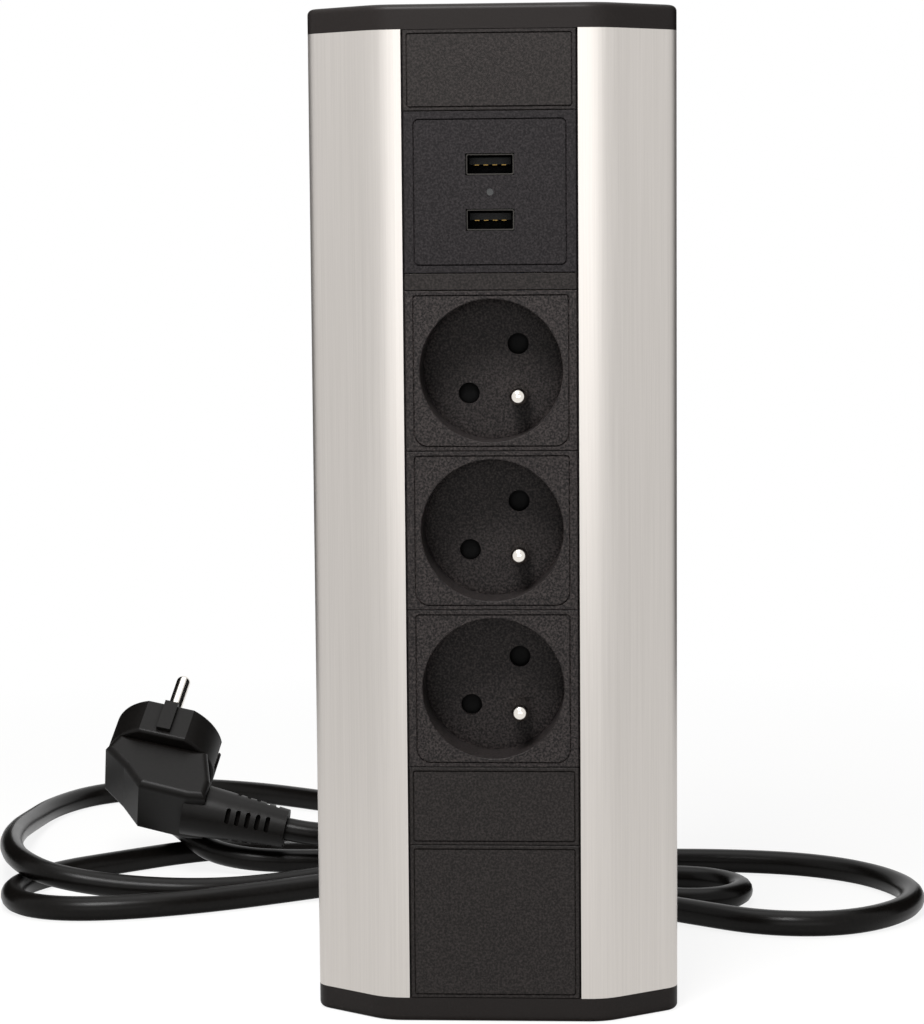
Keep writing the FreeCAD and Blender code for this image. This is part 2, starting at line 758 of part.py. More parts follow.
def make_usb_parts():
    """Transformer and capacitors on the back of the board."""
    y = board_front() + board_thickness
    parts_back = charger_back - charger_wall - parts_gap
    parts = [box(-transformer_width / 2, transformer_width / 2, y, parts_back,
                 charger_z - transformer_height / 2, charger_z + transformer_height / 2)]
    x, z = capacitor_place
    for sx in (-1, 1):
        for sz in (-1, 1):
            parts.append(rod(capacitor_radius, Vector(sx * x, y, charger_z + sz * z), Vector(0, 1, 0),
                             parts_back - capacitor_drop - y))
    return Part.makeCompound(parts)


def make_usb_housing():
    """Back shell of the charger with the posts that hold the board."""
    y1 = charger_back
    z0, z1 = charger_z - charger_half_height, charger_z + charger_half_height
    shape = rounded_plate(charger_half_width, z0, z1, 1.5, plate_back, y1)
    shape = shape.cut(rounded_plate(charger_half_width - charger_wall, z0 + charger_wall, z1 - charger_wall,
                                    0.6, plate_back - 1, y1 - charger_wall))
    post_start = board_front() + board_thickness
    for sx in (-1, 1):
        for sz in (-1, 1):
            x = sx * (charger_half_width - charger_wall - post_inset)
            z = charger_z + sz * (charger_half_height - charger_wall - post_inset)
            shape = shape.fuse(rod(post_radius, Vector(x, post_start, z), Vector(0, 1, 0), y1 - post_start))
    return shape


def pipe(points, radius, bend):
    """Round wire along straight runs that are joined by arcs of one radius."""
    edges = []
    here = points[0]
    for i in range(1, len(points) - 1):
        before = (points[i - 1] - points[i]).normalize()
        after = (points[i + 1] - points[i]).normalize()
        half = before.getAngle(after) / 2
        cut = bend / math.tan(half)
        start, end = points[i] + before * cut, points[i] + after * cut
        middle = points[i] + (before + after).normalize() * (bend / math.sin(half) - bend)
        if (start - here).Length > 1e-6:
            edges.append(Part.LineSegment(here, start).toShape())
        edges.append(Part.Arc(start, middle, end).toShape())
        here = end
    edges.append(Part.LineSegment(here, points[-1]).toShape())
    ring = Part.Wire(Part.makeCircle(radius, points[0], (points[1] - points[0]).normalize()))
    return Part.Wire(edges).makePipeShell([ring], True, False)


def wire_xs():
    """Plan places of the live, neutral and earth wires."""
    return {"live": -half_diagonal, "neutral": half_diagonal, "earth": earth_wire_x}


def make_link_wire(name):
    """Wire from the terminal block up through the sockets' terminals, and on to the charger."""
    x = wire_xs()[name]
    foot = Vector(x, wire_y, block_bottom + block_height)
    if name == "earth":
        top = socket_centre(1) - earth_diagonal + terminal_size
        return rod(wire_radius, foot, Vector(0, 0, 1), top - foot.z)
    corner = Vector(x, wire_y, charger_z)
    return pipe([foot, corner, Vector(x, charger_back, charger_z)], wire_radius, wire_bend)


def make_core(name, index):
    """Core of the lead from the end of its jacket up to the terminal block."""
    x = wire_xs()[name]
    start = Vector((index - 1) * core_pitch, block_back + jacket_end, inlet_height)
    turn = Vector(start.x, wire_y, inlet_height)
    straighten = Vector(x, wire_y, (inlet_height + 2 * block_bottom) / 3)
    return pipe([start, turn, straighten, Vector(x, wire_y, block_bottom)], wire_radius, core_bend)


def make_terminal_block():
    """Three-way terminal block on the bottom cap's upright."""
    x0, x1 = -half_diagonal - block_margin, earth_wire_x + block_margin
    shape = box(x0, x1, block_front, block_back, block_bottom, block_bottom + block_height)
    middle = block_bottom + block_height / 2
    for x in wire_xs().values():
        seat = rod(block_screw_radius + wire_clearance, Vector(x, block_front - 1, middle), Vector(0, 1, 0),
                   1 + block_screw_height)
        shape = shape.cut(seat)
    return shape


def make_terminal_screws():
    """Slotted screw heads in the front of the terminal block."""
    middle = block_bottom + block_height / 2
    screws = []
    for x in wire_xs().values():
        start = Vector(x, block_front - block_screw_height, middle)
        screws.append(slotted_screw(start, Vector(0, 1, 0), block_screw_radius, 2 * block_screw_height,
                                    block_screw_radius / 2, 2 * block_screw_height))
    return Part.makeCompound(screws)


def clamp_y():
    """Depths between which the clamp holds the lead."""
    y0 = block_back + carrier_thickness
    return y0, y0 + clamp_length


def make_cord_clamp():
    """Saddle that presses the lead onto its seat in the bottom cap."""
    y0, y1 = clamp_y()
    z0 = inlet_height + clamp_gap / 2
    shape = box(-clamp_half_width, clamp_half_width, y0, y1, z0, z0 + clamp_height)
    shape = shape.cut(rod(cord_radius, Vector(0, y0 - 1, inlet_height), Vector(0, 1, 0), clamp_length + 2))
    for side in (-1, 1):
        under = Vector(side * clamp_screw_x, (y0 + y1) / 2, z0 - 1)
        shape = shape.cut(rod(clamp_screw_radius + fit_gap, under, Vector(0, 0, 1), clamp_height + 2))
    return shape


def make_clamp_screws():
    """Two screws through the saddle into the seat."""
    y0, y1 = clamp_y()
    top = inlet_height + clamp_gap / 2 + clamp_height + clamp_head_height
    length = top - cap_height - 1.0
    screws = []
    for side in (-1, 1):
        start = Vector(side * clamp_screw_x, (y0 + y1) / 2, top)
        screws.append(slotted_screw(start, Vector(0, 0, -1), clamp_head_radius, clamp_head_height,
                                    clamp_screw_radius - wire_clearance, length))
    return Part.makeCompound(screws)


def make_cord_inlet():
    """Bushing in the back of the section with its flange, snap ring and tapered strain relief."""
    way = Vector(0, 1, 0)
    centre = Vector(0, 0, inlet_height)
    shape = rod(inlet_body_radius - inlet_hole_gap, centre + Vector(0, back - wall, 0), way, wall)
    shape = shape.fuse(rod(inlet_flange_radius, centre + Vector(0, back, 0), way, inlet_flange))
    shape = shape.fuse(rod(inlet_snap_radius, centre + Vector(0, inlet_snap_y, 0), way, inlet_snap))
    taper = Part.makeCone(inlet_body_radius, inlet_tip_radius, inlet_length - inlet_flange,
                          centre + Vector(0, back + inlet_flange, 0), way)
    shape = shape.fuse(taper)
    bore = rod(cord_radius, centre + Vector(0, inlet_snap_y - 1, 0), way, inlet_tip_y - inlet_snap_y + 2)
    return shape.cut(bore)


def make_cord_tail():
    """End of the lead inside the section, up to where its jacket is stripped."""
    start = Vector(0, block_back + jacket_end, inlet_height)
    return rod(cord_radius, start, Vector(0, 1, 0), inlet_tip_y - start.y)


def cord_points():
    """Route of the free lead, from its strain relief to the plug's."""
    end = plug_point(relief_end, 0, -relief_drop)
    return [route_start] + [Vector(*p) for p in route] + [end + plug_axes()[0] * last_run, end]


def make_power_cord():
    """Free lead: straight runs and the largest arcs that they allow."""
    points = cord_points()
    edges, radii = [], []
    here = points[0]
    for i in range(1, len(points) - 1):
        run_in, run_out = points[i] - points[i - 1], points[i + 1] - points[i]
        turn = run_in.getAngle(run_out)
        cut = arc_share * min(run_in.Length, run_out.Length)
        radius = cut / math.tan(turn / 2)
        radii.append(radius)
        run_in.normalize()
        run_out.normalize()
        start, end = points[i] - run_in * cut, points[i] + run_out * cut
        inward = (run_out - run_in).normalize()
        middle = points[i] + inward * (radius / math.cos(turn / 2) - radius)
        edges.append(Part.LineSegment(here, start).toShape())
        edges.append(Part.Arc(start, middle, end).toShape())
        here = end
    edges.append(Part.LineSegment(here, points[-1]).toShape())
    path = Part.Wire(edges)
    ring = Part.Wire(Part.makeCircle(cord_radius, points[0], (points[1] - points[0]).normalize()))
    tube = path.makePipeShell([ring], True, False)
    print("lead radii", " ".join("%.0f" % r for r in radii))
    section = math.pi * cord_radius ** 2
    print("lead length %.1f, volume %.0f, section by length %.0f" % (path.Length, tube.Volume,
                                                                      section * path.Length))
    return tube


def plug_axes():
    """Unit axes of the plug: u towards the lead, v across, w along the pins."""
    w = Vector(plug_pin_direction).normalize()
    lead = Vector(plug_lead_direction)
    u = (lead - w * lead.dot(w)).normalize()
    return u, w.cross(u), w


def plug_point(u, v, w):
    """Point of the plug in the part's frame."""
    axes = plug_axes()
    return plug_face + axes[0] * u + axes[1] * v + axes[2] * w


def placed(shape):
    """Shape drawn in the plug's axes, moved to where the plug lies."""
    u, v, w = plug_axes()
    matrix = FreeCAD.Matrix(u.x, v.x, w.x, plug_face.x, u.y, v.y, w.y, plug_face.y,
                            u.z, v.z, w.z, plug_face.z, 0, 0, 0, 1)
    shape.Placement = FreeCAD.Placement(matrix)
    return shape


def make_plug_disc():
    """Round front of the plug with its two flats, their guide ribs and the earth clip channels."""
    disc = rod(disc_radius, Vector(0, 0, -disc_height), Vector(0, 0, 1), disc_height)
    ribs = disc.common(box(-rib_width / 2, rib_width / 2, -disc_flat - rib_height, disc_flat + rib_height,
                           -rib_length, 0))
    disc = disc.common(box(-disc_radius, disc_radius, -disc_flat, disc_flat, -disc_height, 0))
    rim = [e for e in disc.Edges if e.BoundBox.ZLength < 1e-6]
    disc = disc.makeFillet(disc_fillet, rim).fuse(ribs)
    for side in (-1, 1):
        half = clip_width / 2 + clip_channel_side
        channel_x = sorted((side * (disc_radius - clip_thickness - clip_stand), side * (disc_radius + 1)))
        disc = disc.cut(box(*channel_x, -half, half, -clip_length, 1))
    return disc


def make_plug_grip():
    """Housing behind the disc, sloped away from the lead."""
    outline = [(grip_edge - disc_radius, grip_root - disc_height), grip_heel, grip_knee, grip_toe, grip_foot,
               (grip_nose, -relief_drop - grip_nose_half), (grip_nose, -relief_drop + grip_nose_half),
               (grip_shoulder, grip_root - disc_height)]
    points = [Vector(u, -grip_half, w) for u, w in outline]
    grip = Part.Face(Part.makePolygon(points + points[:1])).extrude(Vector(0, 2 * grip_half, 0))
    long_edges = [e for e in grip.Edges if e.BoundBox.YLength < 1e-6]
    return grip.makeFillet(grip_fillet, long_edges)


def relief_slot(u, v0, v1):
    """Slot with rounded ends across the side of the strain relief."""
    half = relief_slot_width / 2
    corners = [Vector(u - half, -relief_slot_half, 0), Vector(u + half, -relief_slot_half, 0),
               Vector(u + half, relief_slot_half, 0), Vector(u - half, relief_slot_half, 0)]
    wire = rounded_wire(corners, [half * relief_slot_end] * 4)
    wire.rotate(Vector(), Vector(1, 0, 0), 90)
    wire.translate(Vector(0, v0, 0))
    return Part.Face(wire).extrude(Vector(0, v1 - v0, 0))


def make_plug_relief():
    """Round tapered strain relief with flexing slots in two sides and notches between them in the others."""
    sections = []
    for u, radius in ((relief_start, relief_start_radius), (relief_neck, relief_neck_radius),
                      (relief_end, relief_tip_radius)):
        sections.append(Part.Wire(Part.makeCircle(radius, Vector(u, 0, 0), Vector(1, 0, 0))))
    relief = Part.makeLoft(sections, True, True)
    taper = (relief_neck_radius - relief_tip_radius) / (relief_end - relief_neck)
    for i in range(relief_slots):
        u = relief_first_slot + i * relief_slot_pitch
        between = u + relief_slot_pitch / 2
        slot_radius = relief_neck_radius - taper * (u - relief_neck)
        notch_radius = relief_neck_radius - taper * (between - relief_neck)
        for side in (-1, 1):
            slot_v = sorted((side * (slot_radius - relief_slot_depth), side * (slot_radius + 1)))
            relief = relief.cut(relief_slot(u, *slot_v))
            notch_w = sorted((side * (notch_radius - notch_depth), side * (notch_radius + 1)))
            relief = relief.cut(box(between - relief_slot_width / 2, between + relief_slot_width / 2,
                                    -notch_half, notch_half, *notch_w))
    relief.rotate(Vector(), Vector(1, 0, 0), relief_turn)
    relief.translate(Vector(0, 0, -relief_drop))
    return relief


def make_plug_body():
    """Moulded plug body in one piece with its strain relief."""
    body = make_plug_disc().fuse(make_plug_grip()).fuse(make_plug_relief())
    for side in (-1, 1):
        seat = Vector(0, side * pin_spacing / 2, -pin_foot)
        body = body.cut(rod(pin_shank_radius, seat, Vector(0, 0, 1), pin_foot + 1))
    earth_floor = Vector(-earth_offset, 0, -plug_earth_depth)
    earth = rod(plug_earth_radius, earth_floor, Vector(0, 0, 1), plug_earth_depth)
    return placed(body.cut(earth).removeSplitter())


def make_plug_pins():
    """Two round pins, held in the plug's face."""
    pins = []
    for side in (-1, 1):
        foot = Vector(0, side * pin_spacing / 2, -pin_foot)
        pins.append(shouldered_pin(foot, Vector(0, 0, 1), pin_foot + pin_undercut,
                                   plug_pin_length - pin_undercut))
    return placed(Part.makeCompound(pins))


def make_plug_clips():
    """Side earth clips in their channels."""
    clips = []
    for side in (-1, 1):
        outer = disc_radius - clip_stand
        strip_x = sorted((side * (outer - clip_thickness), side * outer))
        clips.append(box(*strip_x, -clip_width / 2, clip_width / 2, -clip_length, -clip_setback))
    return placed(Part.makeCompound(clips))


def build():
    """Every sub-part by its node name."""
    nodes = {
        "housing_profile": make_profile(),
        "bottom_cap": make_bottom_cap(),
        "top_cap": make_cap(profile_top_z, total_height, total_height, -1),
        "cap_screws": make_cap_screws(),
        "blank_full_bottom": make_blank(blank_full_bottom_z, blank_half_bottom_z),
        "blank_half_bottom": make_blank(blank_half_bottom_z, sockets_bottom_z),
        "blank_top": make_blank(blank_top_z, profile_top_z),
        "spacer_strip": make_spacer(),
        "usb_cover": make_usb_cover(),
        "usb_housing": make_usb_housing(),
        "usb_board": make_usb_board(),
        "usb_parts": make_usb_parts(),
        "usb_contacts": make_usb_contacts(),
        "usb_light_pipe": make_light_pipe(),
        "terminal_block": make_terminal_block(),
        "terminal_screws": make_terminal_screws(),
        "cord_clamp": make_cord_clamp(),
        "clamp_screws": make_clamp_screws(),
        "cord_inlet": make_cord_inlet(),
        "cord_tail": make_cord_tail(),
        "power_cord": make_power_cord(),
        "plug_body": make_plug_body(),
        "plug_pins": make_plug_pins(),
        "plug_earth_clips": make_plug_clips(),
    }
    for name, z in zip(("lower", "upper"), port_heights()):
        nodes["usb_shell_" + name] = make_usb_shell(z)
        nodes["usb_tongue_" + name] = make_usb_tongue(z)
    for index in range(1, socket_count + 1):
        z = socket_centre(index)
        nodes["socket_cover_%d" % index] = make_socket_cover(z)
        nodes["socket_base_%d" % index] = make_socket_base(z)
        nodes["contacts_%d" % index] = make_contacts(z)
        nodes["earth_pin_%d" % index] = make_earth_pin(z)
        nodes["shutter_%d" % index] = make_shutter(z)
        nodes["shutter_spring_%d" % index] = make_shutter_spring(z)
    for index, name in enumerate(wire_xs()):
        nodes["wire_" + name] = make_link_wire(name)
        nodes["core_" + name] = make_core(name, index)
    return nodes


os.makedirs("parts", exist_ok=True)
for node, shape in build().items():
    shape.exportStep("parts/%s.step" % node)
    print("%-18s solids %d volume %.1f valid %s" % (node, len(shape.Solids), shape.Volume, shape.isValid()))
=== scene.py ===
"""Looks of a corner power strip: aluminium section, black modules, sockets, charger, lead and plug."""

import logging
import math
from dataclasses import dataclass, field
from enum import Enum

import bmesh
import bpy
from mathutils import Euler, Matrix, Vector

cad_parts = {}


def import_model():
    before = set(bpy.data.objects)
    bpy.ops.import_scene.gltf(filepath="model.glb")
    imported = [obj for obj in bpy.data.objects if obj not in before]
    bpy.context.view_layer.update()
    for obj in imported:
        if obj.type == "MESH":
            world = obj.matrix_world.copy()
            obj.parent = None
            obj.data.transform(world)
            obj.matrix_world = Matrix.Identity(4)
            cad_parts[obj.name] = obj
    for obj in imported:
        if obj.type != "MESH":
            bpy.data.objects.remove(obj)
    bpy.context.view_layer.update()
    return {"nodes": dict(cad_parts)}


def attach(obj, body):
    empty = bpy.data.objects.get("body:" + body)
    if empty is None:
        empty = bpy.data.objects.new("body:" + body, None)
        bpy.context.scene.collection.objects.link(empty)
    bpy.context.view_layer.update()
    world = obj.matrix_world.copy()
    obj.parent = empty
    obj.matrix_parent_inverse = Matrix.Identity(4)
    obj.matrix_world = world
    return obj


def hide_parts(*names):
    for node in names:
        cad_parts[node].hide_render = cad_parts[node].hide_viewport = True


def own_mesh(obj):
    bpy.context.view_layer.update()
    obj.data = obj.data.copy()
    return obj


LOG = logging.getLogger("corner_power_strip")
MM = 0.001
Point = tuple[float, float, float]
PlanPoint = tuple[float, float]

# Rays per point that measure how open a surface is, for the painted shade in hollows
OPENNESS_SAMPLES = 8


def linear(colour: str) -> tuple[float, float, float, float]:
    """Turn an sRGB hex colour to linear RGBA.

    Args:
        colour: Six hex digits after a hash sign.

    Returns:
        The linear colour with an alpha of one.
    """
    parts = [int(colour[i:i + 2], 16) / 255 for i in (1, 3, 5)]
    values = [p / 12.92 if p <= 0.04045 else ((p + 0.055) / 1.055) ** 2.4 for p in parts]
    return values[0], values[1], values[2], 1.0


def put_in_scene(name: str, data: bpy.types.ID) -> bpy.types.Object:
    """Make an object and link it to the scene.

    Args:
        name: Name of the object.
        data: Its mesh, curve, light or camera.

    Returns:
        The new object.
    """
    made = bpy.data.objects.new(name, data)
    bpy.context.scene.collection.objects.link(made)
    return made


def add_sheet(name: str, corners: list[Point], material: bpy.types.Material) -> bpy.types.Object:
    """Make a flat sheet of the studio.

    Args:
        name: Name of the sheet and its mesh.
        corners: Its four corners in order, in metres.
        material: Material that it takes.

    Returns:
        The sheet as a mesh object.
    """
    data = bpy.data.meshes.new(name)
    data.from_pydata(corners, [], [(0, 1, 2, 3)])
    data.materials.append(material)
    return put_in_scene(name, data)


def add_node(tree: bpy.types.NodeTree, kind: str, settings: dict | None = None,
             links: dict | None = None) -> bpy.types.Node:
    """Add a node with its settings and links.

    Args:
        tree: Node tree that the node goes into.
        kind: Blender's name for the node's type.
        settings: Values by property name, or by input name or number.
        links: Output sockets by the name or number of the input that each one feeds.

    Returns:
        The new node.
    """
    node = tree.nodes.new(kind)
    for name, value in (settings or {}).items():
        if isinstance(name, str) and hasattr(node, name):
            setattr(node, name, value)
        else:
            node.inputs[name].default_value = value
    for name, source in (links or {}).items():
        tree.links.new(source, node.inputs[name])
    return node


def new_material(name: str) -> bpy.types.Material:
    """Make an empty node material.

    Args:
        name: Name of the material.

    Returns:
        A material whose node tree has nothing in it.
    """
    material = bpy.data.materials.new(name)
    material.use_nodes = True
    material.node_tree.nodes.clear()
    return material


def close_material(material: bpy.types.Material, settings: dict, links: dict) -> bpy.types.Material:
    """Add the surface shader and the output.

    Args:
        material: Material to close.
        settings: Values of the surface shader's own sockets.
        links: Sockets that feed the surface shader.

    Returns:
        The same material.
    """
    tree = material.node_tree
    shader = add_node(tree, "ShaderNodeBsdfPrincipled", settings, links)
    add_node(tree, "ShaderNodeOutputMaterial", links={"Surface": shader.outputs["BSDF"]})
    return material


class Gloss(Enum):
    """Roughness that a moulding takes from its tool."""

    TEXTURED = 0.56
    SATIN = 0.42
    SEMI_GLOSS = 0.3
    GLOSSY = 0.16


@dataclass(frozen=True)
class AnodisedAluminium:
    """Aluminium extrusion, brushed along its length and then anodised satin."""

    name: str = "anodised_aluminium_brushed"
    colour: str = "#CCC7C2"
    streak_colour: str = "#C3BEB9"
    ramp: tuple[float, float] = (0.3, 0.7)
    line_mm: float = 0.4
    line_length_mm: float = 60.0
    relief_mm: float = 0.02
    relief_strength: float = 0.25
    roughness: float = 0.36
    smoother_by: float = 0.05
    rougher_by: float = 0.06
    anisotropy: float = 0.6
    ledge_shade_reach_mm: float = 2.0

    def material(self) -> bpy.types.Material:
        """Build the metal, whose fine upright lines give it a soft, silky sheen.

        Returns:
            The finished material.
        """
        material = new_material(self.name)
        tree = material.node_tree
        place = add_node(tree, "ShaderNodeTexCoord")
        # Real brushing is finer than a pixel, so its lines are drawn as wide as they need to show
        across = 1 / (self.line_mm * MM)
        along = 1 / (self.line_length_mm * MM)
        stretched = add_node(tree, "ShaderNodeMapping", {"Scale": (across, across, along)},
                             {"Vector": place.outputs["Object"]})
        lines = add_node(tree, "ShaderNodeTexNoise", {"Scale": 1.0, "Detail": 3.0, "Roughness": 0.7},
                         {"Vector": stretched.outputs["Vector"]})
        tone = add_node(tree, "ShaderNodeValToRGB", links={"Fac": lines.outputs["Fac"]})
        colours = (self.streak_colour, self.colour)
        for stop, position, colour in zip(tone.color_ramp.elements, self.ramp, colours):
            stop.position = position
            stop.color = linear(colour)
        rough = add_node(tree, "ShaderNodeMapRange",
                         {"To Min": self.roughness - self.smoother_by,
                          "To Max": self.roughness + self.rougher_by},
                         {"Value": lines.outputs["Fac"]})
        bump = add_node(tree, "ShaderNodeBump",
                        {"Strength": self.relief_strength, "Distance": self.relief_mm * MM},
                        {"Height": lines.outputs["Fac"]})
        # Painted shade: the base colour is darkened in hollows, such as the ledges under the modules
        shaded = add_node(tree, "ShaderNodeAmbientOcclusion",
                          {"samples": OPENNESS_SAMPLES, "Distance": self.ledge_shade_reach_mm * MM},
                          {"Color": tone.outputs["Color"]})
        return close_material(material, {"Metallic": 1.0, "Anisotropic": self.anisotropy}, {
            "Base Color": shaded.outputs["Color"], "Roughness": rough.outputs["Result"],
            "Normal": bump.outputs["Normal"]})


@dataclass(frozen=True)
class MouldedPlastic:
    """Injection moulded or extruded plastic with the grain of its tool."""

    name: str
    colour: str
    pale: str
    gloss: Gloss
    grain_mm: float
    depth_mm: float
    specular: float = 0.3
    ramp: tuple[float, float] = (0.35, 0.75)
    relief_strength: float = 0.5
    flow_mm: float = 30.0
    gloss_change: float = 0.06
    seam_shade_reach_mm: float = 4.0
    seam_openness: tuple[float, float] = (0.35, 0.8)
    seam_sheen: float = 0.1
    ior: float = 1.5

    def material(self) -> bpy.types.Material:
        """Build the plastic, with grain in its colour, gloss and relief.

        Returns:
            The finished material.
        """
        material = new_material(self.name)
        tree = material.node_tree
        place = add_node(tree, "ShaderNodeTexCoord")
        # Real grain is finer than a pixel, so it is drawn as coarse as it needs to show
        grain = add_node(tree, "ShaderNodeTexNoise",
                         {"Scale": 1 / (self.grain_mm * MM), "Detail": 4.0, "Roughness": 0.65},
                         {"Vector": place.outputs["Object"]})
        # Slow change over a few centimetres, as a moulding's gloss has
        flow = add_node(tree, "ShaderNodeTexNoise", {"Scale": 1 / (self.flow_mm * MM), "Detail": 2.0},
                        {"Vector": place.outputs["Object"]})
        tone = add_node(tree, "ShaderNodeValToRGB", links={"Fac": grain.outputs["Fac"]})
        colours = (self.colour, self.pale)
        for stop, position, colour in zip(tone.color_ramp.elements, self.ramp, colours):
            stop.position = position
            stop.color = linear(colour)
        mean = self.gloss.value
        rough = add_node(tree, "ShaderNodeMapRange",
                         {"To Min": mean - self.gloss_change, "To Max": mean + self.gloss_change},
                         {"Value": flow.outputs["Fac"]})
        bump = add_node(tree, "ShaderNodeBump",
                        {"Strength": self.relief_strength, "Distance": self.depth_mm * MM},
                        {"Height": grain.outputs["Fac"]})
        # Painted shade: seams, slots and holes lose their sheen, as little of the bright surroundings is
        # seen from inside them
        openness = add_node(tree, "ShaderNodeAmbientOcclusion",
                            {"samples": OPENNESS_SAMPLES, "Distance": self.seam_shade_reach_mm * MM})
        sheen = add_node(tree, "ShaderNodeMapRange",
                         {"From Min": self.seam_openness[0], "From Max": self.seam_openness[1],
                          "To Min": self.seam_sheen * self.specular, "To Max": self.specular},
                         {"Value": openness.outputs["AO"]})
        return close_material(material, {"IOR": self.ior}, {
            "Base Color": tone.outputs["Color"], "Roughness": rough.outputs["Result"],
            "Specular IOR Level": sheen.outputs["Result"], "Normal": bump.outputs["Normal"]})


@dataclass(frozen=True)
class BrightMetal:
    """Turned, stamped or plated metal."""

    name: str
    colour: str
    roughness: float
    mark_mm: float
    smoothest_share: float = 0.7
    roughest_share: float = 1.4

    def material(self) -> bpy.types.Material:
        """Build the metal, with faint handling marks in its gloss.

        Returns:
            The finished material.
        """
        material = new_material(self.name)
        tree = material.node_tree
        place = add_node(tree, "ShaderNodeTexCoord")
        marks = add_node(tree, "ShaderNodeTexNoise", {"Scale": 1 / (self.mark_mm * MM), "Detail": 5.0},
                         {"Vector": place.outputs["Object"]})
        rough = add_node(tree, "ShaderNodeMapRange",
                         {"To Min": self.roughness * self.smoothest_share,
                          "To Max": self.roughness * self.roughest_share},
                         {"Value": marks.outputs["Fac"]})
        return close_material(material, {"Base Color": linear(self.colour), "Metallic": 1.0},
                              {"Roughness": rough.outputs["Result"]})


@dataclass(frozen=True)
class ClearPlastic:
    """Moulded light guide, coloured nearly black, polished on its ends."""

    name: str = "polycarbonate_dark_moulded"
    colour: str = "#0E0F0F"
    cloud_mm: float = 2.0
    roughness: tuple[float, float] = (0.12, 0.3)
    transmission: float = 0.05
    ior: float = 1.58
    specular: float = 0.4

    def material(self) -> bpy.types.Material:
        """Build the nearly black plastic, slightly cloudy inside.

        Returns:
            The finished material.
        """
        material = new_material(self.name)
        tree = material.node_tree
        place = add_node(tree, "ShaderNodeTexCoord")
        cloud = add_node(tree, "ShaderNodeTexNoise", {"Scale": 1 / (self.cloud_mm * MM)},
                         {"Vector": place.outputs["Object"]})
        rough = add_node(tree, "ShaderNodeMapRange",
                         {"To Min": self.roughness[0], "To Max": self.roughness[1]},
                         {"Value": cloud.outputs["Fac"]})
        own = {"Base Color": linear(self.colour), "Transmission Weight": self.transmission,
               "IOR": self.ior, "Specular IOR Level": self.specular}
        return close_material(material, own, {"Roughness": rough.outputs["Result"]})


# Narrow part of the grain that turns from dark to pale, for dry, speckled mouldings
SPECKLE = (0.42, 0.66)


